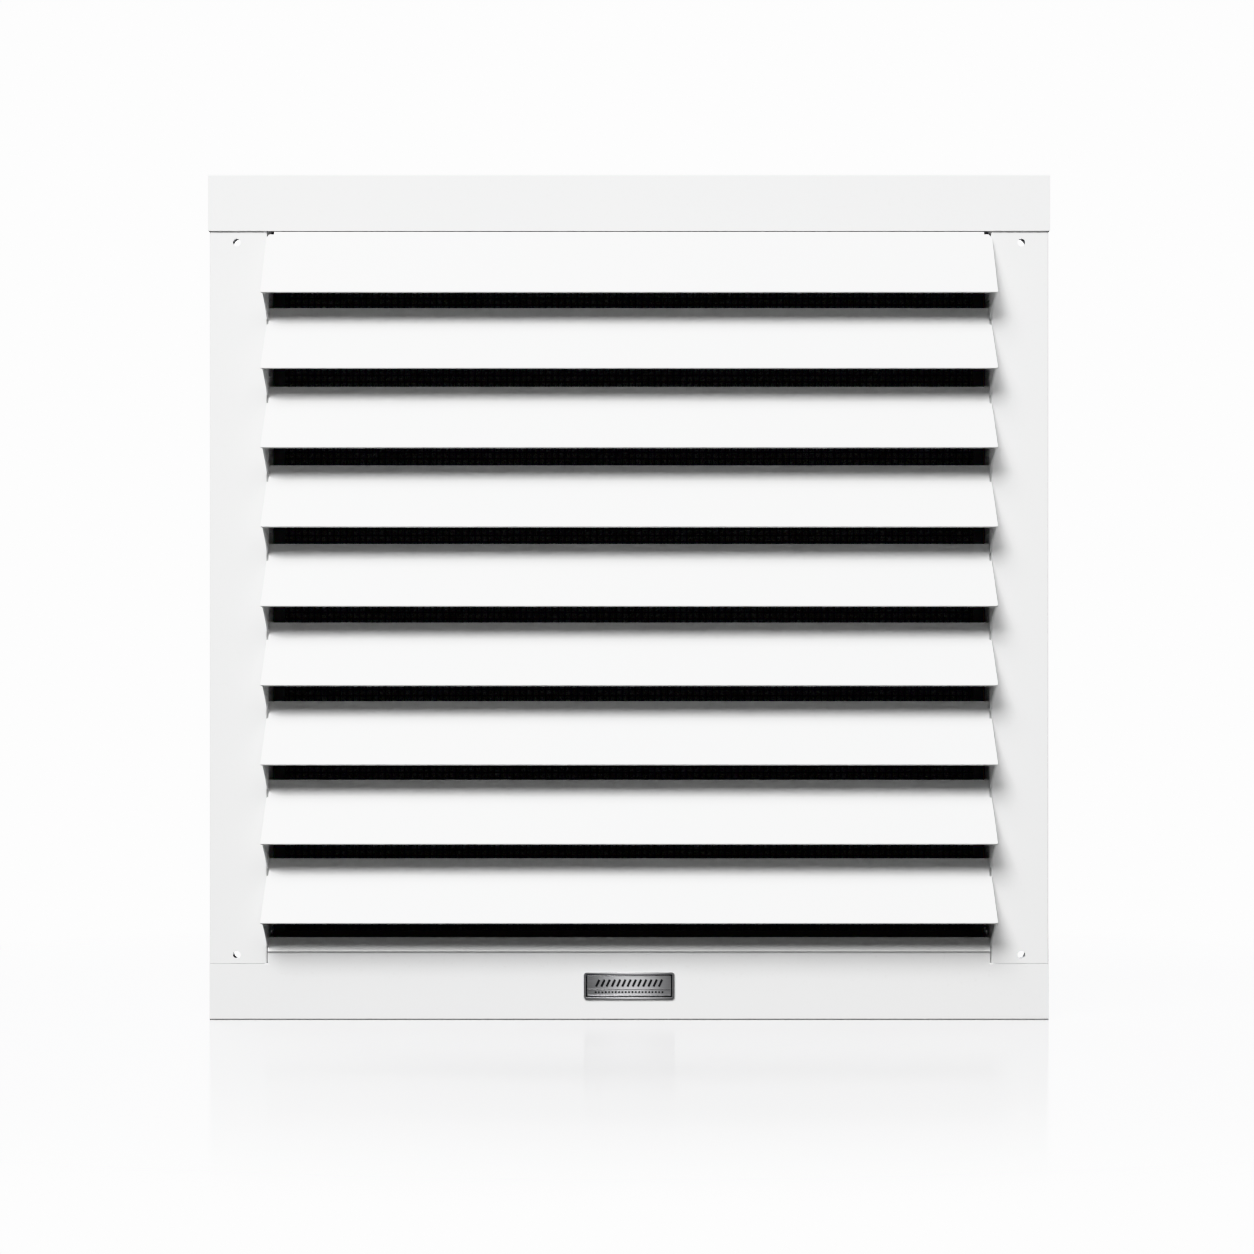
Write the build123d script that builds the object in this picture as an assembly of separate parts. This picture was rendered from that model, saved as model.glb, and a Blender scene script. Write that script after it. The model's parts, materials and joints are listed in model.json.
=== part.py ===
from build123d import *
import math
import os

# Fixed-blade louvred air grille, folded from 1 mm powder-coated steel sheet, in millimetres.
# +X right, +Z up, the front faces -Y. The origin is the bottom centre of the bounding box.
# While a piece is built, y = 0 is the front face of the stiles; save() then moves it to the row frame.

# Frame
sheet = 1.0
bend_radius = 0.7  # on the centre line of a folded sheet
frame_width = 580.0
frame_height = 584.0
flange_width = 40.0
flange_depth = 20.0  # how far the face stands off the wall
rear_lip = 9.0  # turned in behind the flange, against the wall
sleeve_depth = 58.0  # how far the sleeve reaches behind the face
opening_width = frame_width - 2 * flange_width
opening_top = 544.8
face_joint_height = 38.7  # where the stiles stand on the bottom rail
face_joint_gap = 0.2
upstand_gap = 0.5  # slit between the bottom rail's upstand and each stile
weld_flange = 15.0  # how far the sleeve's top wall laps behind the top rail's face
sill_overhang = 1.0  # how far the sill's front edge stands out over the bottom rail's upstand
sill_drop = 7.0  # from the sill's rear edge down to the sleeve's floor

# Blades, with heights above each blade's lip
blade_count = 9
blade_angle = 60.0  # above the horizontal
blade_cross = 34.2  # where the blade passes through the frame's front plane
blade_rise = 9.6  # from there up to its rear edge, and the same on the sill
blade_return = 8.0  # folded down behind the rear edge
fold_radius = 0.6  # of that fold, on the centre line
hem_length = 9.0
lip_overhang = 2.9  # how far the lip stands out past the opening on each side
bottom_lip_height = 67.6
blade_pitch = 54.4
top_blade_drop = 2.3  # the top blade sits lower than the even pitch would put it
top_blade_gap = 0.6  # under the top rail's lower edge, which it meets edge to edge
top_blade_front = 0.9  # how far its upper edge stands in front of the stiles
cheek_drop = 17.0  # from the lip down to the cheek's lower corner, in the frame's front plane
cheek_flare = 1.8  # how far a cheek leans outwards by the time it reaches the lip
cheek_hollow = 0.5  # how far its front edge bows in
cheek_back = 26.0  # how far the cheek's rivet tab reaches behind the face
cheek_tab = (-3.0, 35.8)  # that tab's lower and upper edge, about the lip
corner_relief_width = 5.0  # notch at each upper corner of the top blade
corner_relief_height = 2.0
corner_relief_wedge = 1.8  # how wide its deeper outer end is
corner_relief_depth = 4.4  # how deep that end is
slit_relief_height = 5.0
slit_relief_depth = 1.2

# Fixings
hole_spacing_x = 542.0
hole_spacing_z = 492.0
hole_centre_z = 291.0
hole_radius = 2.5
spacer_radius = 5.0
spacer_bore = 3.5
fixing_plate_sheet = 1.5
fixing_plate_reach = 34.5  # above and below its hole
fixing_plate_inset = 2.5  # clear of the stile's inner and outer walls
rivet_radius = 1.6
rivet_head_radius = 3.2
rivet_head_height = 1.1
rivet_head_edge = 0.3
rivet_tail_radius = 2.5
rivet_tail_length = 1.5
rivet_tail_round = 0.6
cheek_rivet_y = 17.0
cheek_rivet_heights = (5.0, 28.0)  # above the lip

# Sleeve corner angles
angle_leg = 18.0
angle_sheet = 1.5
angle_start = 23.5
angle_end = 43.5
angle_rivet_y = (28.5, 38.5)
angle_rivet_inset = 9.0  # from the sleeve's inner corner

# Screen, filter and the channels that bind them
channel_front = 44.0
channel_depth = 10.0
channel_leg = 8.0
channel_clearance = 0.5  # to the sleeve
screen_clearance = 0.2  # from the screen's edges to the channel's web
screen_thickness = 1.6
filter_inset = 3.5  # clear of the channel's web, where the screw tips are
filter_wire_radius = 1.25
filter_wire_bend = 1.5
filter_wire_heights = (230.0, 390.0)
screw_radius = 1.7
screw_head_radius = 3.5
screw_head_height = 2.2
screw_head_round = 1.3
screw_recess = (3.6, 0.8, 1.2)  # the cross recess's length, width and depth
screw_point = 0.8
screw_tip = 2.5  # past the channel's web
fit_gap = 0.05  # between a screw or wire and its hole
screw_offset_x = 180.0
screw_heights = (130.0, 300.0, 470.0)

# Nameplate
plate_width = 62.5
plate_height = 18.4
plate_centre_z = 23.7
plate_sheet = 0.5
plate_corner = 2.0
plate_relief = 0.25
plate_rim = 1.4
plate_groove = 0.9  # between the rim and the inner border
plate_border = 0.45
plate_line = (-2.6, 0.4)  # the ruled line's height about the plate's centre, and its thickness
bar_size = (1.5, 5.4)
bar_pitch = 3.6
bar_count = 13
bar_tilt = 25.0
bar_height = 1.9  # the bars' middle, above the plate's centre
dot_radius = 0.7
dot_pitch = 2.3
dot_count = 21
dot_height = -4.3
pad_sheet = 0.3
pad_inset = 2.0

half_frame = frame_width / 2
half_open = opening_width / 2
slope = math.radians(blade_angle)
top_lip_height = bottom_lip_height + (blade_count - 1) * blade_pitch - top_blade_drop
sill_front_z = bottom_lip_height + blade_cross - blade_pitch
sill_back_z = sill_front_z + blade_rise
sleeve_floor_z = sill_back_z - sill_drop
# The lip is a round nose of one sheet's radius, and the blade's front surface is tangent to it.
nose_y = sheet / math.sin(slope) - (blade_cross - sheet) / math.tan(slope)
lip_reach = sheet - nose_y
face_y = (lip_reach - sleeve_depth) / 2
rear_lip_y = flange_depth - sheet
channel_half_width = half_open - channel_clearance
channel_bottom = sleeve_floor_z + channel_clearance
channel_top = opening_top - channel_clearance

os.makedirs("parts", exist_ok=True)


def save(shape, node):
    export_step(Pos(0, face_y, 0) * shape, f"parts/{node}.step")


def block(x, y, z):
    """A box between two values along each axis."""
    size = [abs(b - a) for a, b in (x, y, z)]
    centre = [(a + b) / 2 for a, b in (x, y, z)]
    return Pos(*centre) * Box(*size)


def folded(plane, points, thickness=sheet, radius=bend_radius):
    """The section of a sheet folded along its centre line, as a sketch on a plane."""
    line = FilletPolyline(*points, radius=radius)
    return plane * trace(line, line_width=thickness)


def swept_x(points, half_width, thickness=sheet, radius=bend_radius):
    """A sheet folded along (y, z) points, the same all the way across."""
    section = folded(Plane.YZ, points, thickness, radius)
    return extrude(section, half_width, both=True)


def fold_point(start, lean, top_z):
    """Where a sloping sheet's centre line turns straight down, so that the fold itself tops out at top_z."""
    rounded_off = fold_radius * (1 / math.tan((math.pi / 2 - lean) / 2) - 1)
    turn_z = top_z - sheet / 2 + rounded_off
    return (start.X + (turn_z - start.Y) / math.tan(lean), turn_z)


def across(side, x, y, z, radius, length):
    """A cylinder along X whose outer end is at x, on the side given by 1 or -1."""
    return Pos(side * (x - length / 2), y, z) * Rot(0, 90, 0) * Cylinder(radius, length)


def top_rail():
    """A cap over both stiles: face, top, a rear lip against the wall and a side flap at each end."""
    half = sheet / 2
    cap = swept_x(
        [
            (rear_lip_y + half, frame_height - rear_lip),
            (rear_lip_y + half, frame_height - half),
            (-half, frame_height - half),
            (-half, opening_top),
        ],
        half_frame + sheet,
    )
    for side in (-1, 1):
        cap += block(
            (side * half_frame, side * (half_frame + sheet)),
            (-half, rear_lip_y),
            (opening_top, frame_height - half),
        )
        cap -= block(
            (side * (half_frame - 2 * rear_lip), side * (half_frame + 2 * sheet)),
            (rear_lip_y, flange_depth + sheet),
            (frame_height - 2 * rear_lip, frame_height - sheet - bend_radius),
        )
    return cap


def bottom_rail():
    """The lower face with its upstand between the stiles, a floor, a rear lip and side flaps."""
    half = sheet / 2
    rail = swept_x(
        [
            (rear_lip_y + half, rear_lip),
            (rear_lip_y + half, half),
            (half, half),
            (half, face_joint_height),
        ],
        half_frame,
    )
    upstand_half = half_open - upstand_gap
    upstand_top = sill_front_z - sheet / 2
    rail += block((-upstand_half, upstand_half), (0, sheet), (face_joint_height - sheet, upstand_top))
    for side in (-1, 1):
        rail += block(
            (side * (half_frame - sheet), side * half_frame),
            (half, rear_lip_y),
            (half, face_joint_height),
        )
        rail -= block(
            (side * (half_frame - 2 * rear_lip), side * (half_frame - sheet)),
            (rear_lip_y, flange_depth + sheet),
            (sheet + bend_radius, 2 * rear_lip),
        )
    return rail


def sleeve_top():
    """The sleeve's upper wall, with a flange behind the top rail's face."""
    half = sheet / 2
    wall = swept_x(
        [
            (half, opening_top + weld_flange),
            (half, opening_top + half),
            (sleeve_depth, opening_top + half),
        ],
        half_open - upstand_gap,
    )
    wall += block(
        (-half_open, half_open),
        (flange_depth, sleeve_depth),
        (opening_top, opening_top + sheet),
    )
    return wall - sleeve_wall_holes(1)


def sill():
    """The sleeve's lower wall: a blade-like slope that starts over the upstand, a step, then the floor."""
    half = sheet / 2
    start = Vector(half * math.sin(slope) - sill_overhang, sill_front_z - half * math.cos(slope))
    ridge_y, ridge_z = fold_point(start, slope, sill_back_z)
    wall = swept_x(
        [
            (start.X, start.Y),
            (ridge_y, ridge_z),
            (ridge_y, sleeve_floor_z - half),
            (sleeve_depth, sleeve_floor_z - half),
        ],
        half_open - upstand_gap,
        radius=fold_radius,
    )
    wall += block(
        (-half_open, half_open),
        (flange_depth, sleeve_depth),
        (sleeve_floor_z - sheet, sleeve_floor_z),
    )
    return wall - sleeve_wall_holes(-1)


def stile(side):
    """A channel: flange face, outer return with its rear lip, and the sleeve's side wall."""
    half = sheet / 2
    bottom = face_joint_height + face_joint_gap
    top = frame_height - sheet - bend_radius
    outer = side * (half_frame - half)
    inner = side * (half_open + half)
    section = folded(
        Plane.XY,
        [
            (side * (half_frame - rear_lip), rear_lip_y + half),
            (outer, rear_lip_y + half),
            (outer, half),
            (inner, half),
            (inner, sleeve_depth),
        ],
    )
    channel = Pos(0, 0, bottom) * extrude(section, top - bottom)
    behind = (flange_depth, sleeve_depth + sheet)
    wall = (side * (half_open - sheet), side * (half_open + 3 * sheet))
    channel -= block(wall, behind, (0, sleeve_floor_z - sheet))
    channel -= block(wall, behind, (opening_top + sheet, frame_height + sheet))
    beside_lip = (rear_lip_y, flange_depth + sheet)
    flap = (side * (half_frame - 2 * rear_lip), side * (half_frame - sheet))
    channel -= block(flap, beside_lip, (top - 2 * sheet, frame_height))
    channel -= block(wall, beside_lip, (frame_height - rear_lip - sheet, frame_height))
    for z in hole_heights():
        channel -= hole_cutter(side, z, hole_radius)
    outside = half_open + 2 * sheet
    for lip_z in lip_heights():
        for rise in cheek_rivet_heights:
            channel -= across(side, outside, cheek_rivet_y, lip_z + rise, rivet_radius, 4 * sheet)
    for z in (sleeve_floor_z + angle_rivet_inset, opening_top - angle_rivet_inset):
        for y in angle_rivet_y:
            channel -= across(side, outside, y, z, rivet_radius, 4 * sheet)
    for z in screw_heights:
        channel -= across(side, outside, channel_middle(), z, screw_radius + fit_gap, 4 * sheet)
    return channel


def sleeve_wall_holes(top):
    """Cutters for the rivets and screws in the sleeve's top or bottom wall."""
    cutters = []
    for side in (-1, 1):
        place = angle_rivet_places(side, top)[1]
        cutters += [rivet_cutter(place, y) for y in angle_rivet_y]
    for x, z, turn in screw_places("top" if top > 0 else "bottom"):
        cutters.append(Pos(x, channel_middle(), z) * Cylinder(screw_radius + fit_gap, 4 * sheet))
    return cutters


def hole_heights():
    return (hole_centre_z - hole_spacing_z / 2, hole_centre_z + hole_spacing_z / 2)


def hole_cutter(side, z, radius):
    """A cylinder along Y through the whole flange at one fixing hole."""
    return Pos(side * hole_spacing_x / 2, 0, z) * Rot(90, 0, 0) * Cylinder(radius, 4 * flange_depth)


def lip_heights():
    """Heights of the nine lips, from the top blade down."""
    lower = [bottom_lip_height + k * blade_pitch for k in reversed(range(blade_count - 1))]
    return [top_lip_height] + lower


def channel_middle():
    return channel_front + channel_depth / 2


def cheek(side, rear_y, top_z):
    """A blade's end cheek about the lip: a leaning triangle in front of the frame, a rivet tab behind it."""
    lip_corner = (-nose_y, sheet)
    low_corner = (0.0, -cheek_drop)
    bowed_middle = (-nose_y / 2 - cheek_hollow, (sheet - cheek_drop) / 2)
    behind_face = -2 * sheet
    front_edge = ThreePointArc(lip_corner, bowed_middle, low_corner)
    other_edges = Polyline(
        low_corner, (behind_face, cheek_tab[0]), (behind_face, top_z / 2), (-rear_y, top_z), lip_corner
    )
    lean = math.atan2(cheek_flare, -nose_y)
    leaning = Plane(
        origin=(side * half_open, 0, 0),
        x_dir=(side * math.sin(lean), -math.cos(lean), 0),
        z_dir=(-math.cos(lean), -side * math.sin(lean), 0),
    )
    front = extrude(leaning * make_face([front_edge, other_edges]), side * sheet)
    tab_outline = Polyline(
        low_corner,
        (rear_y + 1.5 * sheet, cheek_tab[0]),
        (cheek_back, cheek_tab[0]),
        (cheek_back, cheek_tab[1]),
        (rear_y - sheet / 2, cheek_tab[1]),
        (rear_y - sheet / 2, top_z),
        (0.0, min(top_z, blade_cross)),
        close=True,
    )
    tab = Pos(side * half_open, 0, 0) * extrude(Plane.YZ * make_face(tab_outline), -side * sheet)
    return front + tab


def blade(cross_y, cross_z, top_z):
    """One louvre blade about its own lip height: sloped sheet, hem, rear return and both cheeks.

    Its front is tangent to the lip's nose and passes (cross_y, cross_z). Its rear fold tops out at top_z.
    """
    reach = math.hypot(cross_y - nose_y, cross_z - sheet)
    lean = math.acos(sheet / reach) - math.atan2(cross_y - nose_y, cross_z - sheet)
    along = Vector(math.cos(lean), math.sin(lean))
    front = Vector(-math.sin(lean), math.cos(lean))
    nose = Vector(nose_y, sheet)
    start = nose + front * (sheet / 2)
    turn = fold_point(start, lean, top_z)
    line = FilletPolyline((start.X, start.Y), turn, (turn[0], top_z - blade_return), radius=fold_radius)
    section = trace(line, line_width=sheet)
    section += Pos(nose_y, sheet) * Circle(sheet)
    hem_middle = nose - front * (sheet / 2) + along * (hem_length / 2)
    section += Pos(hem_middle.X, hem_middle.Y) * Rot(0, 0, math.degrees(lean)) * Rectangle(hem_length, sheet)
    solid = extrude(Plane.YZ * section, half_open + lip_overhang, both=True)
    far_out = half_open + 4 * lip_overhang
    for side in (-1, 1):
        tapered_off = Polyline(
            (side * (half_open + lip_overhang), 0),
            (side * half_open, cross_z),
            (side * half_open, 2 * blade_pitch),
            (side * far_out, 2 * blade_pitch),
            (side * far_out, 0),
            close=True,
        )
        solid -= extrude(Plane.XZ * make_face(tapered_off), 3 * flange_depth, both=True)
        too_wide = (side * half_open, side * far_out)
        solid -= block(too_wide, (0, 3 * flange_depth), (-blade_pitch, 2 * blade_pitch))
        solid += cheek(side, turn[0] + sheet / 2, top_z - 2 * sheet)
        for rise in cheek_rivet_heights:
            solid -= across(side, half_open + sheet, cheek_rivet_y, rise, rivet_radius, 4 * sheet)
    return solid


def middle_blade():
    """A blade that passes through the frame's front plane, slit there so that its ends clear the stiles."""
    solid = blade(0.0, blade_cross, blade_cross + blade_rise)
    half_slit = slit_relief_height / 2
    for side in (-1, 1):
        solid -= block(
            (side * (half_open - slit_relief_depth), side * (half_open + sheet)),
            (-slit_relief_height, half_slit),
            (blade_cross - half_slit, blade_cross + half_slit),
        )
    return solid


def top_blade():
    """The uppermost blade, which stops under the top rail and has its upper corners notched."""
    top_z = opening_top - top_blade_gap - top_lip_height
    solid = blade(-top_blade_front, top_z, top_z)
    for side in (-1, 1):
        notch = Polyline(
            (side * (half_open - corner_relief_width), top_z + sheet),
            (side * (half_open - corner_relief_width), top_z - corner_relief_height),
            (side * (half_open - corner_relief_wedge), top_z - corner_relief_height),
            (side * half_open, top_z - corner_relief_depth),
            (side * (half_open + sheet), top_z + sheet),
            close=True,
        )
        solid -= extrude(Plane.XZ * make_face(notch), 4 * sheet, both=True)
    return solid


def rivet(grip):
    """A blind rivet along X: dome head from x = 0 outwards, body through the grip, formed tail behind."""
    head = Pos(0, 0, rivet_head_height / 2) * Cylinder(rivet_head_radius, rivet_head_height)
    head = fillet(head.edges().sort_by(Axis.Z)[-1], rivet_head_height - rivet_head_edge)
    body = Pos(0, 0, -grip / 2) * Cylinder(rivet_radius, grip)
    tail = Pos(0, 0, -grip - rivet_tail_length / 2) * Cylinder(rivet_tail_radius, rivet_tail_length)
    tail = fillet(tail.edges().filter_by(GeomType.CIRCLE), rivet_tail_round)
    return Rot(0, 90, 0) * (head + body + tail)


def mirrored(shape, side):
    return shape if side > 0 else Rot(0, 0, 180) * shape


def blade_rivets(side):
    """The rivets that hold the cheeks to the sleeve wall on one side, heads outside."""
    one = mirrored(rivet(2 * sheet), side)
    x = side * (half_open + sheet)
    return Compound(
        [Pos(x, cheek_rivet_y, z + rise) * one for z in lip_heights() for rise in cheek_rivet_heights]
    )


def sleeve_corner_z(top):
    """The height of the sleeve's inner corner. top is 1 for an upper corner, -1 for a lower one."""
    return opening_top if top > 0 else sleeve_floor_z


def corner_angle(side, top):
    """An L bracket outside one corner of the sleeve."""
    wall_z = sleeve_corner_z(top) + top * sheet
    outer_x = side * (half_open + sheet + angle_sheet)
    outer_z = wall_z + top * angle_sheet
    depth = (angle_start, angle_end)
    leg_z = block((side * (half_open + sheet), outer_x), depth, (outer_z - top * angle_leg, outer_z))
    leg_x = block((outer_x - side * angle_leg, outer_x), depth, (wall_z, outer_z))
    bracket = leg_x + leg_z
    for y in angle_rivet_y:
        for position in angle_rivet_places(side, top):
            bracket -= rivet_cutter(position, y)
    return bracket


def angle_rivet_places(side, top):
    """(x, z, turn about Y) of an angle's two rivet rows, at the outer face of the bracket."""
    corner_z = sleeve_corner_z(top)
    return (
        (side * (half_open + sheet + angle_sheet), corner_z - top * angle_rivet_inset, 90 * side - 90),
        (side * (half_open - angle_rivet_inset), corner_z + top * (sheet + angle_sheet), -90 * top),
    )


def rivet_cutter(place, y):
    """A hole of the rivet's own radius at one of angle_rivet_places."""
    x, z, turn = place
    return Pos(x, y, z) * Rot(0, turn, 0) * Rot(0, 90, 0) * Cylinder(rivet_radius, 8 * sheet)


def corner_rivets(side, top):
    one = rivet(angle_sheet + sheet)
    return [
        Pos(x, y, z) * Rot(0, turn, 0) * one
        for x, z, turn in angle_rivet_places(side, top)
        for y in angle_rivet_y
    ]


def fixing_plate(side, z):
    """A doubler behind the face at one fixing hole, which also ties a stile to the rail beside it."""
    width = (side * (half_open + fixing_plate_inset), side * (half_frame - fixing_plate_inset))
    height = (z - fixing_plate_reach, z + fixing_plate_reach)
    plate = block(width, (sheet, sheet + fixing_plate_sheet), height)
    return plate - hole_cutter(side, z, hole_radius)


def spacer(side, z):
    """A tube from the fixing plate back to the wall, so that the screw can't crush the flange."""
    front = sheet + fixing_plate_sheet
    length = flange_depth - front
    tube = Cylinder(spacer_radius, length) - Cylinder(spacer_bore, 2 * length)
    return Pos(side * hole_spacing_x / 2, front + length / 2, z) * Rot(90, 0, 0) * tube


def channel(edge):
    """One mitred U strip of the screen's binding, open towards the middle."""
    a = channel_half_width
    low, high = channel_bottom, channel_top
    leg = channel_leg
    outlines = {
        "bottom": [(-a, low), (a, low), (a - leg, low + leg), (-a + leg, low + leg)],
        "top": [(-a, high), (a, high), (a - leg, high - leg), (-a + leg, high - leg)],
        "left": [(-a, low), (-a, high), (-a + leg, high - leg), (-a + leg, low + leg)],
        "right": [(a, low), (a, high), (a - leg, high - leg), (a - leg, low + leg)],
    }
    face = make_face(Plane.XZ * Polyline(*outlines[edge], close=True))
    strip = Pos(0, channel_middle(), 0) * extrude(face, channel_depth / 2, both=True)
    strip -= block(
        (-a + sheet, a - sheet),
        (channel_front + sheet, channel_front + channel_depth - sheet),
        (low + sheet, high - sheet),
    )
    for x, z, turn in screw_places(edge):
        strip -= Pos(x, channel_middle(), z) * Rot(0, turn, 0) * Cylinder(screw_radius + fit_gap, 8 * sheet)
    wire_hole = Rot(90, 0, 0) * Cylinder(filter_wire_radius + fit_gap, 4 * sheet)
    for side in {"left": [-1], "right": [1]}.get(edge, []):
        for z in filter_wire_heights:
            strip -= Pos(side * filter_wire_end(), channel_front + channel_depth, z) * wire_hole
    return strip


def screw_places(edge):
    """(x, z, turn about Y) of the screws in one edge, at the sleeve's outer face."""
    if edge in ("top", "bottom"):
        top = 1 if edge == "top" else -1
        z = sleeve_corner_z(top) + top * sheet
        return [(x, z, 90 - 90 * top) for x in (-screw_offset_x, 0.0, screw_offset_x)]
    side = 1 if edge == "right" else -1
    return [(side * (half_open + sheet), z, 90 * side) for z in screw_heights]


def screw():
    """A pan-head self-tapping screw, its head on top of z = 0, with a cross recess."""
    head = Pos(0, 0, screw_head_height / 2) * Cylinder(screw_head_radius, screw_head_height)
    head = fillet(head.edges().sort_by(Axis.Z)[-1], screw_head_round)
    recess_length, recess_width, recess_depth = screw_recess
    for turn in (0, 90):
        recess = Rot(0, 0, turn) * Box(recess_length, recess_width, 2 * recess_depth)
        head -= Pos(0, 0, screw_head_height) * recess
    length = 2 * sheet + channel_clearance + screw_tip
    shank = Pos(0, 0, -length / 2) * Cylinder(screw_radius, length)
    return head + chamfer(shank.edges().sort_by(Axis.Z)[0], screw_point)


def screen_screws():
    one = screw()
    return Compound(
        [
            Pos(x, channel_middle(), z) * Rot(0, turn, 0) * one
            for edge in ("top", "bottom", "left", "right")
            for x, z, turn in screw_places(edge)
        ]
    )


def filter_wire_end():
    return channel_half_width - sheet - filter_wire_radius - fit_gap


def filter_wire(z):
    """A wire across the filter's back, each end turned forward through the channel's rear leg."""
    back = channel_front + channel_depth + filter_wire_radius + fit_gap
    tip = channel_front + channel_depth - 3 * sheet
    end = filter_wire_end()
    points = [(-end, tip, z), (-end, back, z), (end, back, z), (end, tip, z)]
    path = FilletPolyline(*points, radius=filter_wire_bend)
    start = Plane(origin=path @ 0, z_dir=path % 0)
    return sweep(start * Circle(filter_wire_radius), path=path)


def rounded_plate(width, height, corner, thickness, front):
    """A plate with round corners centred on the nameplate, its front at y = front."""
    outline = RectangleRounded(width, height, corner)
    body = extrude(Plane.XZ * outline, thickness)
    return Pos(0, front + thickness, plate_centre_z) * body


def nameplate():
    """A metal badge with a raised rim, a ruled line, slanted bars and dots: a plain louvre pattern."""
    face = -pad_sheet - plate_sheet
    proud = face - plate_relief

    def raised_ring(inset, line_width, corner):
        """A raised line of rounded outline, inset from the badge's own outline."""
        width, height = plate_width - 2 * inset, plate_height - 2 * inset
        ring = rounded_plate(width, height, corner, plate_relief, proud)
        inner_corner = max(corner - line_width, line_width / 2)
        return ring - rounded_plate(
            width - 2 * line_width, height - 2 * line_width, inner_corner, plate_relief, proud
        )

    def raised(x, z, shape):
        return Pos(x, (proud + face) / 2, plate_centre_z + z) * shape

    plate = rounded_plate(plate_width, plate_height, plate_corner, plate_sheet, face)
    border_inset = plate_rim + plate_groove
    plate += raised_ring(0, plate_rim, plate_corner)
    plate += raised_ring(border_inset, plate_border, plate_corner / 2)
    line_height, line_width = plate_line
    plate += raised(0, line_height, Box(plate_width - 2 * border_inset, plate_relief, line_width))
    bar = Rot(0, bar_tilt, 0) * Box(bar_size[0], plate_relief, bar_size[1])
    for k in range(bar_count):
        plate += raised((k - (bar_count - 1) / 2) * bar_pitch, bar_height, bar)
    dot = Rot(90, 0, 0) * Cylinder(dot_radius, plate_relief)
    for k in range(dot_count):
        plate += raised((k - (dot_count - 1) / 2) * dot_pitch, dot_height, dot)
    return plate


save(top_rail(), "top_rail")
save(bottom_rail(), "bottom_rail")
save(sleeve_top(), "sleeve_top")
save(sill(), "sill")
save(stile(-1), "left_stile")
save(stile(1), "right_stile")

same_blade = middle_blade()
for number, height in enumerate(lip_heights(), start=1):
    shape = top_blade() if number == 1 else same_blade
    save(Pos(0, 0, height) * shape, f"louvre_blade_{number}")
save(blade_rivets(-1), "left_blade_rivets")
save(blade_rivets(1), "right_blade_rivets")

all_corner_rivets = []
for side, hand in ((-1, "left"), (1, "right")):
    for top, level in ((1, "top"), (-1, "bottom")):
        save(corner_angle(side, top), f"{level}_{hand}_sleeve_angle")
        all_corner_rivets += corner_rivets(side, top)
        z = hole_centre_z + top * hole_spacing_z / 2
        save(fixing_plate(side, z), f"{level}_{hand}_fixing_plate")
        save(spacer(side, z), f"{level}_{hand}_spacer")
save(Compound(all_corner_rivets), "sleeve_angle_rivets")

for edge in ("top", "bottom", "left", "right"):
    save(channel(edge), f"screen_channel_{edge}")
save(screen_screws(), "screen_screws")

inside_channel = sheet + screen_clearance
screen_x = (inside_channel - channel_half_width, channel_half_width - inside_channel)
screen_y = (channel_front + sheet, channel_front + sheet + screen_thickness)
screen_z = (channel_bottom + inside_channel, channel_top - inside_channel)
save(block(screen_x, screen_y, screen_z), "mesh_screen")

inside_channel = sheet + filter_inset
filter_x = (inside_channel - channel_half_width, channel_half_width - inside_channel)
filter_y = (screen_y[1], channel_front + channel_depth - sheet)
filter_z = (channel_bottom + inside_channel, channel_top - inside_channel)
save(block(filter_x, filter_y, filter_z), "filter")
for name, z in zip(("lower", "upper"), filter_wire_heights):
    save(filter_wire(z), f"{name}_filter_wire")

save(nameplate(), "nameplate")
pad_corner = plate_corner / 2
pad_size = (plate_width - 2 * pad_inset, plate_height - 2 * pad_inset)
save(rounded_plate(*pad_size, pad_corner, pad_sheet, -pad_sheet), "nameplate_pad")
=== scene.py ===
import json
import math

import bpy
import numpy as np
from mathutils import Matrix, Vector


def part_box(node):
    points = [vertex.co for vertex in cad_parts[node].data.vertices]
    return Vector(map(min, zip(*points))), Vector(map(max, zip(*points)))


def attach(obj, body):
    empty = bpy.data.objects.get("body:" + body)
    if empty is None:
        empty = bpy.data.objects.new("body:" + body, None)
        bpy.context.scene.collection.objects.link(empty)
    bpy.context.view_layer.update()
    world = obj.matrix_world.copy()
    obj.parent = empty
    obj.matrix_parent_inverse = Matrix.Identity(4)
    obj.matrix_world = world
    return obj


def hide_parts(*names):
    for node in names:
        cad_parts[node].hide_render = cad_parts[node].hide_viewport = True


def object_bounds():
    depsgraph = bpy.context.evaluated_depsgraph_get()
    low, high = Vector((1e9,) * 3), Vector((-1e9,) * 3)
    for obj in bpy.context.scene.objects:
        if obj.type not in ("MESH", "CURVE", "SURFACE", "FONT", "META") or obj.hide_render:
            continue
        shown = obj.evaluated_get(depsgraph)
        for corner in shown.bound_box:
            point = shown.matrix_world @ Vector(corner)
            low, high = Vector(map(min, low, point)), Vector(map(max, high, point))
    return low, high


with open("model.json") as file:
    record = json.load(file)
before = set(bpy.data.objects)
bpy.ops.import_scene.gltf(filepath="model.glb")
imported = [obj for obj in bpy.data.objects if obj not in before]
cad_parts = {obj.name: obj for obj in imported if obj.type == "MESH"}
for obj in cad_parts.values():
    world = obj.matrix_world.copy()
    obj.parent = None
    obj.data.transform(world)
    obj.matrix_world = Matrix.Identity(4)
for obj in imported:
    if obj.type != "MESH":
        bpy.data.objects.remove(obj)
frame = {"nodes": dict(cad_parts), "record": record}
cad_low, cad_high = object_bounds()

MM = 0.001
BODY = "root"

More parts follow.
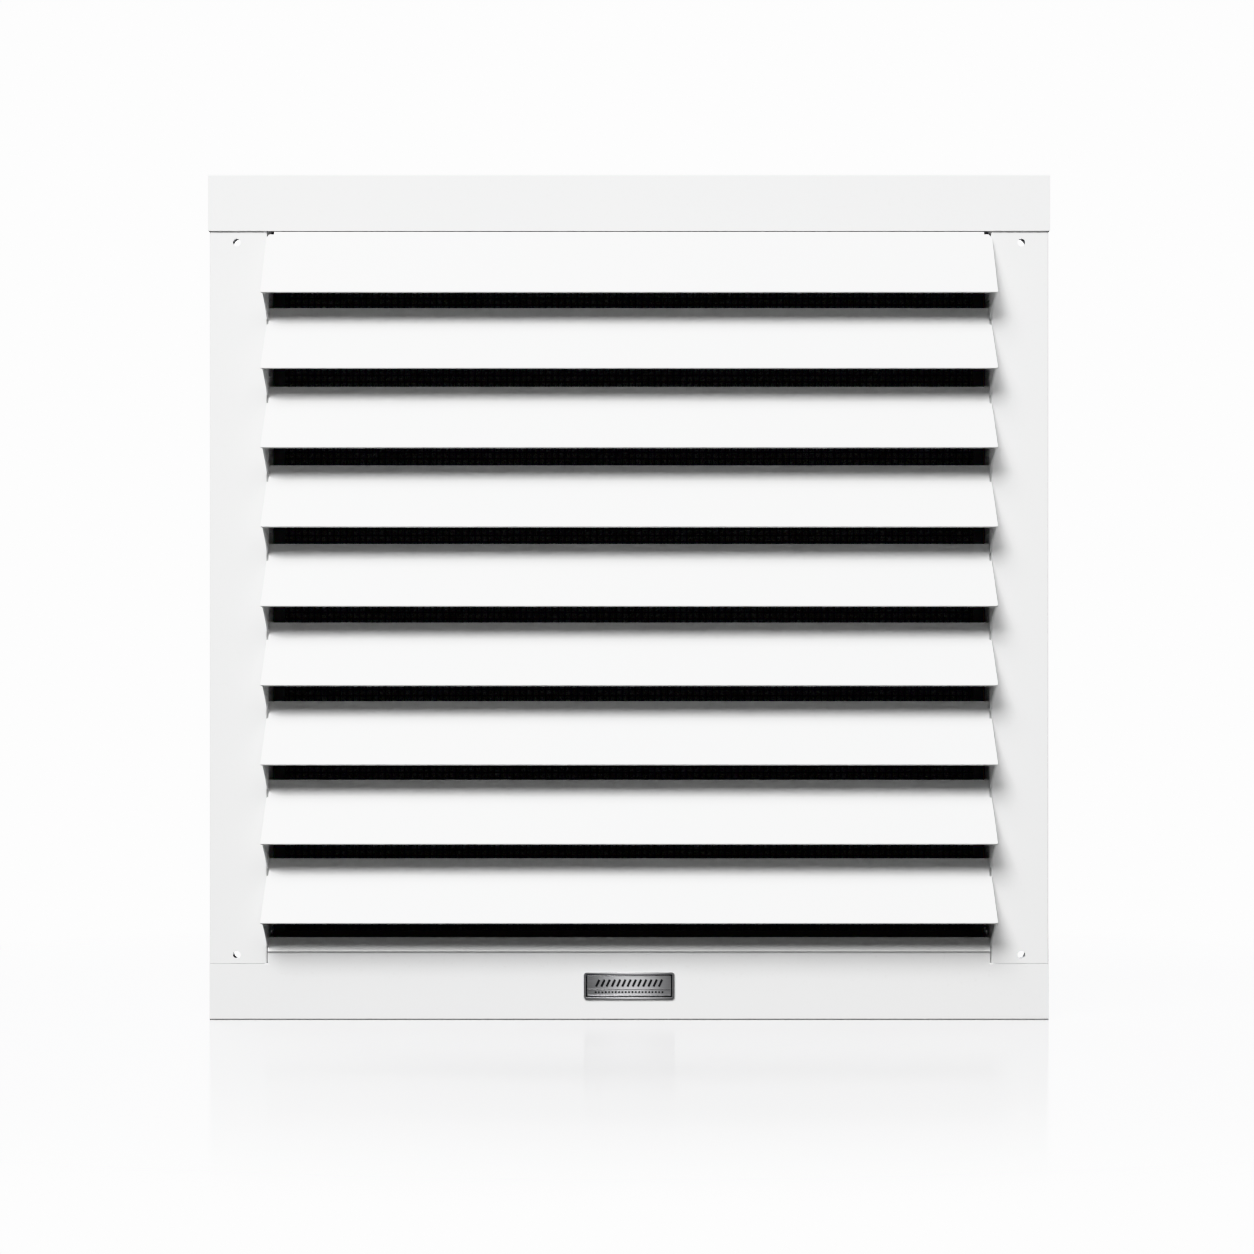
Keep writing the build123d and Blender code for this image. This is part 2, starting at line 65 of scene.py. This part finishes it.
# Camera: level, at half the height of the opening, far enough back for the blades' slight perspective
CAMERA_DISTANCE = 2.6
CAMERA_HEIGHT = 0.2714
CAMERA_SIDE = -0.00145
VIEW_WIDTH = 0.866  # what the frame shows across, at the grille's face
SENSOR = 36.0

# Light. A lamp's place and aim are in metres from the middle of the grille's face.
SURROUND = 4.0  # the white that the camera and the floor's reflection see
AMBIENT = 0.07  # the light that everything else gets from all round
CENTRE = (0, 0, 0)
LAMPS = (  # name, place, aim, width, height, watts
    ("key", (-1.1, -5.2, 6.1), (-1.1, 0, 0), 9.5, 4.0, 540),
    ("side_key", (-1.4, -2.9, 3.8), CENTRE, 2.4, 2.5, 246),
    ("front_fill", (0.2, -3.4, 0.1), CENTRE, 1.6, 1.2, 7),
    ("rear_key", (-0.9, 2.2, 1.4), CENTRE, 1.6, 1.2, 70),
    ("rear_fill", (1.6, 1.8, 0.3), CENTRE, 1.4, 1.4, 22),
    ("front_card", (0, -3.0, 0.2), CENTRE, 1.1, 2.4, 14),
)
REFLECTED_ONLY = ("front_card",)  # lamps that show in a sheen but don't light the paint

# Floor
FLOOR_SIZE = 12.0
FLOOR_REACH = 0.86  # where the floor's reflection has faded out, in metres from the origin
FLOOR_FALL = 6.0  # how late and fast it fades
FLOOR_BLUR = (0.014, 0.06)  # slopes of its fine unevenness along X and Y
FLOOR_MIRROR = 0.42  # how much of it is reflection rather than white enamel

# Screen and filter
WIRE_PITCH = 4.5 * MM
WIRE_SIDES = 6
FOAM_CELL = 3.2 * MM
FOAM_DIMPLE = 0.45 * MM
FOAM_EDGE_WIDTH = 3.0 * MM
FOAM_EDGE_DEPTH = 1.2 * MM  # how far a face falls back across that width

# Badge
PLATE_RIM = 1.4 * MM
PLATE_GROOVE = 0.9 * MM
PLATE_BORDER = 0.5 * MM
PLATE_PROUD = 0.1 * MM  # what lies within this of the badge's front is a raised mark
PLATE_DOME = 3.2  # curvature of its face, per metre

face_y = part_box("left_stile")[0].y


# ---------------------------------------------------------------- materials


class Shader:
    """A material's node tree, with short ways to add and join nodes."""

    def __init__(self, name):
        self.material = bpy.data.materials.new(name)
        self.material.use_nodes = True
        self.tree = self.material.node_tree
        self.surface = self.tree.nodes["Principled BSDF"]

    def add(self, kind, **values):
        """Adds a node and sets its properties, or its inputs where a value's name is a socket."""
        node = self.tree.nodes.new(kind)
        for key, value in values.items():
            if hasattr(node, key):
                setattr(node, key, value)
            else:
                node.inputs[key.replace("_", " ")].default_value = value
        return node

    def join(self, source, target):
        self.tree.links.new(source, target)

    def place(self, stretch=(1.0, 1.0, 1.0)):
        """Object coordinates in metres, stretched along each axis."""
        coords = self.add("ShaderNodeTexCoord")
        mapping = self.add("ShaderNodeMapping")
        mapping.inputs["Scale"].default_value = stretch
        self.join(coords.outputs["Object"], mapping.inputs["Vector"])
        return mapping.outputs["Vector"]

    def noise(self, vector, scale, detail=3.0, roughness=0.5):
        node = self.add("ShaderNodeTexNoise")
        node.inputs["Scale"].default_value = scale
        node.inputs["Detail"].default_value = detail
        node.inputs["Roughness"].default_value = roughness
        self.join(vector, node.inputs["Vector"])
        return node.outputs["Fac"]

    def span(self, value, low, high, from_low=0.0, from_high=1.0):
        """Maps a value from one range to another."""
        node = self.add("ShaderNodeMapRange")
        node.inputs["From Min"].default_value = from_low
        node.inputs["From Max"].default_value = from_high
        node.inputs["To Min"].default_value = low
        node.inputs["To Max"].default_value = high
        self.join(value, node.inputs["Value"])
        return node.outputs["Result"]

    def math(self, operation, first, second):
        node = self.add("ShaderNodeMath", operation=operation)
        for socket, value in zip(node.inputs, (first, second)):
            if isinstance(value, (int, float)):
                socket.default_value = value
            else:
                self.join(value, socket)
        return node.outputs["Value"]

    def mix(self, factor, first, second):
        """Mixes two colours by a factor socket."""
        node = self.add("ShaderNodeMix", data_type="RGBA")
        self.join(factor, node.inputs["Factor"])
        for socket, value in zip((node.inputs[6], node.inputs[7]), (first, second)):
            if isinstance(value, tuple):
                socket.default_value = (*value, 1.0)
            else:
                self.join(value, socket)
        return node.outputs[2]

    def bump(self, height, distance, strength=1.0, normal=None):
        node = self.add("ShaderNodeBump")
        node.inputs["Strength"].default_value = strength
        node.inputs["Distance"].default_value = distance
        self.join(height, node.inputs["Height"])
        if normal is not None:
            self.join(normal, node.inputs["Normal"])
        return node.outputs["Normal"]

    def bevel(self, radius):
        node = self.add("ShaderNodeBevel", samples=6)
        node.inputs["Radius"].default_value = radius
        return node.outputs["Normal"]

    def edges(self, radius):
        """1 within a radius of a sharp edge, 0 on flat sheet."""
        geometry = self.add("ShaderNodeNewGeometry")
        dot = self.add("ShaderNodeVectorMath", operation="DOT_PRODUCT")
        self.join(self.bevel(radius), dot.inputs[0])
        self.join(geometry.outputs["True Normal"], dot.inputs[1])
        return self.span(dot.outputs["Value"], 1.0, 0.0, 0.8, 0.995)

    def finish(self, colour=None, roughness=None, normal=None, **fixed):
        """Joins or sets the main inputs. fixed are uniform values, set on the shader's own sockets."""
        for name, value in (("Base Color", colour), ("Roughness", roughness), ("Normal", normal)):
            if value is None:
                continue
            if isinstance(value, (int, float)):
                self.surface.inputs[name].default_value = value
            elif isinstance(value, tuple):
                self.surface.inputs[name].default_value = (*value, 1.0)
            else:
                self.join(value, self.surface.inputs[name])
        for name, value in fixed.items():
            self.surface.inputs[name.replace("_", " ")].default_value = value
        return self.material


def white_powder_coat():
    """Satin white powder coat: orange peel, a faint drift of tone, thinner and greyer on cut edges."""
    s = Shader("white_powder_coat")
    at = s.place()
    drift = s.noise(at, 7.0, 2.0)
    speck = s.noise(at, 420.0, 2.0)
    tone = s.mix(drift, (0.885, 0.89, 0.893), (0.905, 0.905, 0.9))
    tone = s.mix(s.span(speck, 0.0, 0.25, 0.62, 0.72), tone, (0.80, 0.80, 0.79))
    tone = s.mix(s.math("MULTIPLY", s.edges(0.5 * MM), 0.35), tone, (0.74, 0.75, 0.76))
    peel = s.noise(at, 620.0, 2.0, 0.4)
    fine = s.noise(at, 2600.0, 2.0, 0.5)
    normal = s.bump(peel, 0.035 * MM, 0.55, s.bevel(0.45 * MM))
    normal = s.bump(fine, 0.008 * MM, 0.35, normal)
    roughness = s.span(s.noise(at, 160.0, 3.0), 0.34, 0.44)
    return s.finish(tone, roughness, normal, Specular_IOR_Level=0.5, Coat_Weight=0.12, Coat_Roughness=0.22)


def black_channel():
    """Black satin coating on rolled steel strip, rubbed a little grey on its edges."""
    s = Shader("black_channel")
    at = s.place()
    tone = s.mix(s.noise(at, 90.0), (0.010, 0.010, 0.011), (0.022, 0.022, 0.023))
    tone = s.mix(s.math("MULTIPLY", s.edges(0.4 * MM), 0.5), tone, (0.075, 0.075, 0.078))
    normal = s.bump(s.noise(at, 900.0, 2.0), 0.03 * MM, 0.5, s.bevel(0.35 * MM))
    return s.finish(tone, s.span(s.noise(at, 230.0), 0.38, 0.55), normal)


def screen_wire():
    """Black plastic-coated wire, slightly dusty on top."""
    s = Shader("screen_wire")
    at = s.place()
    tone = s.mix(s.noise(at, 60.0, 4.0), (0.004, 0.004, 0.004), (0.010, 0.010, 0.010))
    normal = s.bump(s.noise(at, 2400.0, 2.0), 0.02 * MM, 0.4)
    return s.finish(tone, s.span(s.noise(at, 500.0), 0.35, 0.6), normal)


def filter_foam():
    """Grey open-cell foam: lighter struts, with the cells between them painted dark as painted shade in the
    hollows.
    """
    s = Shader("filter_foam")
    at = s.place()
    cells = s.add("ShaderNodeTexVoronoi", feature="DISTANCE_TO_EDGE")
    cells.inputs["Scale"].default_value = 620.0
    s.join(at, cells.inputs["Vector"])
    strut = s.span(cells.outputs["Distance"], 1.0, 0.0, 0.02, 0.22)
    patch = s.mix(s.noise(at, 26.0, 4.0), (0.22, 0.22, 0.225), (0.30, 0.30, 0.305))
    # The cells are painted near-black: painted shade in the foam's hollows, while the struts carry the
    # foam's own grey.
    tone = s.mix(strut, (0.08, 0.08, 0.082), patch)
    normal = s.bump(strut, 0.5 * MM, 0.9)
    return s.finish(tone, s.span(strut, 1.0, 0.8), normal, Sheen_Weight=0.15, Sheen_Roughness=0.6)


def zinc_steel():
    """Zinc-plated steel: soft spangle, fine rolling lines and a few dull patches."""
    s = Shader("zinc_steel")
    at = s.place()
    spangle = s.add("ShaderNodeTexVoronoi")
    spangle.inputs["Scale"].default_value = 260.0
    s.join(at, spangle.inputs["Vector"])
    grey = s.add("ShaderNodeRGBToBW")
    s.join(spangle.outputs["Color"], grey.inputs["Color"])
    tone = s.mix(grey.outputs["Val"], (0.52, 0.54, 0.56), (0.68, 0.69, 0.70))
    tone = s.mix(s.span(s.noise(at, 70.0, 4.0), 0.0, 0.5, 0.55, 0.75), tone, (0.42, 0.43, 0.43))
    lines = s.noise(s.place((1.0, 1.0, 14.0)), 420.0, 2.0)
    normal = s.bump(lines, 0.01 * MM, 0.5, s.bevel(0.3 * MM))
    roughness = s.math("ADD", s.span(grey.outputs["Val"], 0.26, 0.4), s.span(lines, 0.0, 0.08))
    return s.finish(tone, roughness, normal, Metallic=1.0)


def rivet_aluminium():
    """Drawn aluminium: fine turning marks and small handling dents."""
    s = Shader("rivet_aluminium")
    at = s.place()
    tone = s.mix(s.noise(at, 800.0, 3.0), (0.70, 0.71, 0.72), (0.82, 0.83, 0.84))
    normal = s.bump(s.noise(at, 1500.0, 3.0), 0.03 * MM, 0.5, s.bevel(0.2 * MM))
    return s.finish(tone, s.span(s.noise(at, 600.0), 0.28, 0.45), normal, Metallic=1.0)


def adhesive_pad():
    """Dark closed-cell foam tape."""
    s = Shader("adhesive_pad")
    at = s.place()
    tone = s.mix(s.noise(at, 900.0, 3.0), (0.03, 0.03, 0.03), (0.07, 0.07, 0.07))
    return s.finish(tone, 0.85, s.bump(s.noise(at, 1400.0), 0.1 * MM, 0.6))


def nameplate_metal():
    """Brushed steel badge, with dark enamel on its raised marks, and painted shade darkening the recess just
    inside its rim.
    """
    s = Shader("nameplate_metal")
    low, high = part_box("nameplate")
    middle = (low + high) / 2
    brushed = s.place((1.0, 40.0, 40.0))
    grain = s.noise(brushed, 90.0, 5.0, 0.6)
    tone = s.mix(grain, (0.30, 0.30, 0.31), (0.56, 0.56, 0.57))
    coords = s.add("ShaderNodeTexCoord")
    split = s.add("ShaderNodeSeparateXYZ")
    s.join(coords.outputs["Object"], split.inputs[0])
    across = s.math("ABSOLUTE", s.math("SUBTRACT", split.outputs["X"], middle.x), 0.0)
    up = s.math("ABSOLUTE", s.math("SUBTRACT", split.outputs["Z"], middle.z), 0.0)

    def inside(inset):
        """1 where a point is further than this from the badge's outline."""
        inside_x = s.math("LESS_THAN", across, (high.x - low.x) / 2 - inset)
        inside_z = s.math("LESS_THAN", up, (high.z - low.z) / 2 - inset)
        return s.math("MULTIPLY", inside_x, inside_z)

    proud = s.math("LESS_THAN", split.outputs["Y"], low.y + PLATE_PROUD)
    border = PLATE_RIM + PLATE_GROOVE
    # The recess just inside the rim is painted near-black: painted shade standing for the shadow in that
    # recess.
    groove_shade = s.math("SUBTRACT", inside(PLATE_RIM), inside(border))
    mark = s.math("ADD", s.math("MULTIPLY", inside(border + PLATE_BORDER), proud), groove_shade)
    # This dark tone covers the enamelled marks and the painted shade inside the rim.
    tone = s.mix(mark, tone, (0.012, 0.012, 0.013))
    metal = s.math("SUBTRACT", 1.0, mark)
    s.join(metal, s.surface.inputs["Metallic"])
    # The thin sheet is very slightly domed, so its sheen falls off towards both ends.
    dome = s.math("MULTIPLY", s.math("MULTIPLY", across, across), -PLATE_DOME)
    normal = s.bump(dome, 1.0, 1.0, s.bevel(0.25 * MM))
    normal = s.bump(grain, 0.02 * MM, 0.5, normal)
    roughness = s.math("ADD", s.span(grain, 0.24, 0.4), s.math("MULTIPLY", mark, 0.1))
    return s.finish(tone, roughness, normal)


MAKERS = {
    "white_powder_coat": white_powder_coat,
    "black_channel": black_channel,
    "screen_wire": screen_wire,
    "filter_foam": filter_foam,
    "zinc_steel": zinc_steel,
    "rivet_aluminium": rivet_aluminium,
    "adhesive_pad": adhesive_pad,
    "nameplate_metal": nameplate_metal,
}
materials = {name: make() for name, make in MAKERS.items()}


def paint_cad_nodes():
    """Gives every CAD node the material of its slot in the record."""
    for entry in frame["record"]["subparts"]:
        node = frame["nodes"][entry["node"]]
        node.data.materials.clear()
        node.data.materials.append(materials[entry["material_slot"]])


# ---------------------------------------------------------------- pieces made here


def mesh_object(name, vertices, faces, slot):
    """A mesh piece that rides on the grille's one body."""
    mesh = bpy.data.meshes.new(name)
    mesh.from_pydata(vertices.tolist(), [], faces.tolist())
    mesh.polygons.foreach_set("use_smooth", [True] * len(mesh.polygons))
    mesh.update()
    piece = bpy.data.objects.new(name, mesh)
    bpy.context.scene.collection.objects.link(piece)
    mesh.materials.append(materials[slot])
    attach(piece, BODY)
    return piece


def crimped_wires(name, along, count_across, count_along, low, high, depth, radius, phase):
    """Parallel wires that weave over and under the crossing ones. along is 0 for X and 2 for Z."""
    across = 2 - along
    places = np.linspace(low[across], high[across], count_across)
    stations = np.linspace(low[along], high[along], count_along)
    wire, station = np.meshgrid(np.arange(count_across), np.arange(count_along), indexing="ij")
    weave = np.where((wire + station + phase) % 2, radius, -radius)
    angles = np.arange(WIRE_SIDES) * 2 * math.pi / WIRE_SIDES
    shape = (count_across, count_along, WIRE_SIDES)
    vertices = np.zeros((*shape, 3))
    vertices[..., along] = stations[station][..., None]
    vertices[..., across] = places[wire][..., None] + radius * np.cos(angles)
    vertices[..., 1] = depth + weave[..., None] + radius * np.sin(angles)
    index = np.arange(math.prod(shape)).reshape(shape)
    here, there = index[:, :-1], index[:, 1:]
    sides = np.stack([here, np.roll(here, -1, 2), np.roll(there, -1, 2), there], -1).reshape(-1, 4)
    if along == 2:
        sides = sides[:, ::-1]
    piece = mesh_object(name, vertices.reshape(-1, 3), sides, "screen_wire")
    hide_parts("mesh_screen")
    return piece


def woven_screen():
    """The wire mesh that the CAD panel stands for, as thick as that panel where two wires cross."""
    low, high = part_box("mesh_screen")
    radius = (high.y - low.y) / 4
    depth = (low.y + high.y) / 2
    inset = Vector((radius, 0, radius))
    low, high = low + inset, high - inset
    columns = 1 + round((high.x - low.x) / WIRE_PITCH)
    rows = 1 + round((high.z - low.z) / WIRE_PITCH)
    crimped_wires("screen_warp_wires", 2, columns, rows, low, high, depth, radius, 0)
    crimped_wires("screen_weft_wires", 0, rows, columns, low, high, depth, radius, 1)


def foam_sheet():
    """The filter: a slab whose faces dimple in at random, with soft edges."""
    low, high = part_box("filter")
    columns = round((high.x - low.x) / FOAM_CELL)
    rows = round((high.z - low.z) / FOAM_CELL)
    rng = np.random.default_rng(5)
    u, v = np.meshgrid(np.linspace(0, 1, columns), np.linspace(0, 1, rows), indexing="ij")
    edge = np.minimum(np.minimum(u, 1 - u) * (high.x - low.x), np.minimum(v, 1 - v) * (high.z - low.z))
    round_over = FOAM_EDGE_DEPTH * np.clip(1 - edge / FOAM_EDGE_WIDTH, 0, 1) ** 2
    faces, sheets = [], []
    for which, (surface, inwards) in enumerate(((low.y, 1.0), (high.y, -1.0))):
        dimple = rng.uniform(0.0, FOAM_DIMPLE, u.shape)
        points = np.stack(
            [
                low.x + u * (high.x - low.x),
                surface + inwards * (dimple + round_over),
                low.z + v * (high.z - low.z),
            ],
            -1,
        )
        sheets.append(points.reshape(-1, 3))
        index = np.arange(u.size).reshape(u.shape) + which * u.size
        quads = np.stack([index[:-1, :-1], index[1:, :-1], index[1:, 1:], index[:-1, 1:]], -1).reshape(-1, 4)
        faces.append(quads if which == 0 else quads[:, ::-1])
        rim = np.concatenate([index[:, 0], index[-1, 1:], index[-2::-1, -1], index[0, -2:0:-1]])
        if which == 0:
            front_rim = rim
    back_rim = rim
    faces.append(np.stack([front_rim, back_rim, np.roll(back_rim, -1), np.roll(front_rim, -1)], -1))
    piece = mesh_object("filter_foam_sheet", np.concatenate(sheets), np.concatenate(faces), "filter_foam")
    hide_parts("filter")


# ---------------------------------------------------------------- stage


def floor():
    """A polished white floor: it mirrors the grille, a little blurred, and fades into the surroundings."""
    mesh = bpy.data.meshes.new("studio_floor")
    a = FLOOR_SIZE / 2
    corners = [(-a, -a, 0), (a, -a, 0), (a, a, 0), (-a, a, 0)]
    mesh.from_pydata(corners, [], [(0, 1, 2, 3)])
    piece = bpy.data.objects.new("studio_floor", mesh)
    bpy.context.scene.collection.objects.link(piece)
    piece.location.z = cad_low.z
    s = Shader("studio_floor")
    at = s.place()
    grain = s.add("ShaderNodeTexWhiteNoise", noise_dimensions="3D")
    s.join(at, grain.inputs["Vector"])
    blur = s.add("ShaderNodeVectorMath", operation="MULTIPLY_ADD")
    s.join(grain.outputs["Color"], blur.inputs[0])
    blur.inputs[1].default_value = (2 * FLOOR_BLUR[0], 2 * FLOOR_BLUR[1], 0)
    blur.inputs[2].default_value = (-FLOOR_BLUR[0], -FLOOR_BLUR[1], 1)
    normal = s.add("ShaderNodeVectorMath", operation="NORMALIZE")
    s.join(blur.outputs[0], normal.inputs[0])
    mirror = s.add("ShaderNodeBsdfAnisotropic", distribution="GGX")
    mirror.inputs["Color"].default_value = (0.98, 0.98, 0.985, 1)
    mirror.inputs["Roughness"].default_value = 0.0
    s.join(normal.outputs[0], mirror.inputs["Normal"])
    enamel = s.add("ShaderNodeBsdfDiffuse")
    enamel.inputs["Color"].default_value = (0.9, 0.9, 0.905, 1)
    polished = s.add("ShaderNodeMixShader")
    polished.inputs[0].default_value = FLOOR_MIRROR
    s.join(enamel.outputs[0], polished.inputs[1])
    s.join(mirror.outputs[0], polished.inputs[2])
    distance = s.add("ShaderNodeVectorMath", operation="LENGTH")
    s.join(at, distance.inputs[0])
    near = s.span(distance.outputs["Value"], 0.0, 1.0, 0.0, FLOOR_REACH)
    clear = s.add("ShaderNodeBsdfTransparent")
    mix = s.add("ShaderNodeMixShader")
    s.join(s.math("POWER", near, FLOOR_FALL), mix.inputs[0])
    s.join(polished.outputs[0], mix.inputs[1])
    s.join(clear.outputs[0], mix.inputs[2])
    s.join(mix.outputs[0], s.tree.nodes["Material Output"].inputs["Surface"])
    mesh.materials.append(s.material)
    piece.visible_diffuse = False
    piece.visible_glossy = False
    piece.visible_shadow = False


def area_light(name, place, aim, width, height, power):
    """A rectangular lamp that the camera doesn't see."""
    light = bpy.data.lights.new(name, "AREA")
    light.shape = "RECTANGLE"
    light.size = width
    light.size_y = height
    light.energy = power
    lamp = bpy.data.objects.new(name, light)
    bpy.context.scene.collection.objects.link(lamp)
    lamp.location = place
    lamp.rotation_mode = "QUATERNION"
    lamp.rotation_quaternion = (aim - place).to_track_quat("-Z", "Y")
    lamp.visible_camera = False
    lamp.visible_diffuse = name not in REFLECTED_ONLY


def studio():
    """A wide key high in front, a smaller one on its left, weak fills, and white surroundings."""
    middle = Vector((0, face_y, (cad_low.z + cad_high.z) / 2))
    for name, place, aim, width, height, power in LAMPS:
        area_light(name, middle + Vector(place), middle + Vector(aim), width, height, power)
    world = bpy.data.worlds.new("studio_world")
    bpy.context.scene.world = world
    world.use_nodes = True
    nodes, links = world.node_tree.nodes, world.node_tree.links
    shown = nodes["Background"]
    shown.inputs["Color"].default_value = (1, 1, 1, 1)
    shown.inputs["Strength"].default_value = SURROUND
    ambient = nodes.new("ShaderNodeBackground")
    ambient.inputs["Color"].default_value = (1, 1, 1, 1)
    ambient.inputs["Strength"].default_value = AMBIENT
    path = nodes.new("ShaderNodeLightPath")
    seen = nodes.new("ShaderNodeMath")
    seen.operation = "MAXIMUM"
    links.new(path.outputs["Is Camera Ray"], seen.inputs[0])
    links.new(path.outputs["Is Singular Ray"], seen.inputs[1])
    mix = nodes.new("ShaderNodeMixShader")
    links.new(seen.outputs[0], mix.inputs[0])
    links.new(ambient.outputs[0], mix.inputs[1])
    links.new(shown.outputs[0], mix.inputs[2])
    links.new(mix.outputs[0], nodes["World Output"].inputs["Surface"])


def camera():
    """A level camera that shows the grille's face and some floor in front of it."""
    data = bpy.data.cameras.new("camera")
    data.sensor_width = SENSOR
    data.lens = SENSOR * CAMERA_DISTANCE / VIEW_WIDTH
    data.clip_end = 50
    piece = bpy.data.objects.new("camera", data)
    bpy.context.scene.collection.objects.link(piece)
    piece.location = (CAMERA_SIDE, face_y - CAMERA_DISTANCE, cad_low.z + CAMERA_HEIGHT)
    piece.rotation_euler = (math.pi / 2, 0, 0)
    bpy.context.scene.camera = piece


paint_cad_nodes()
woven_screen()
foam_sheet()
floor()
studio()
camera()
bpy.context.scene.view_settings.view_transform = "Khronos PBR Neutral"
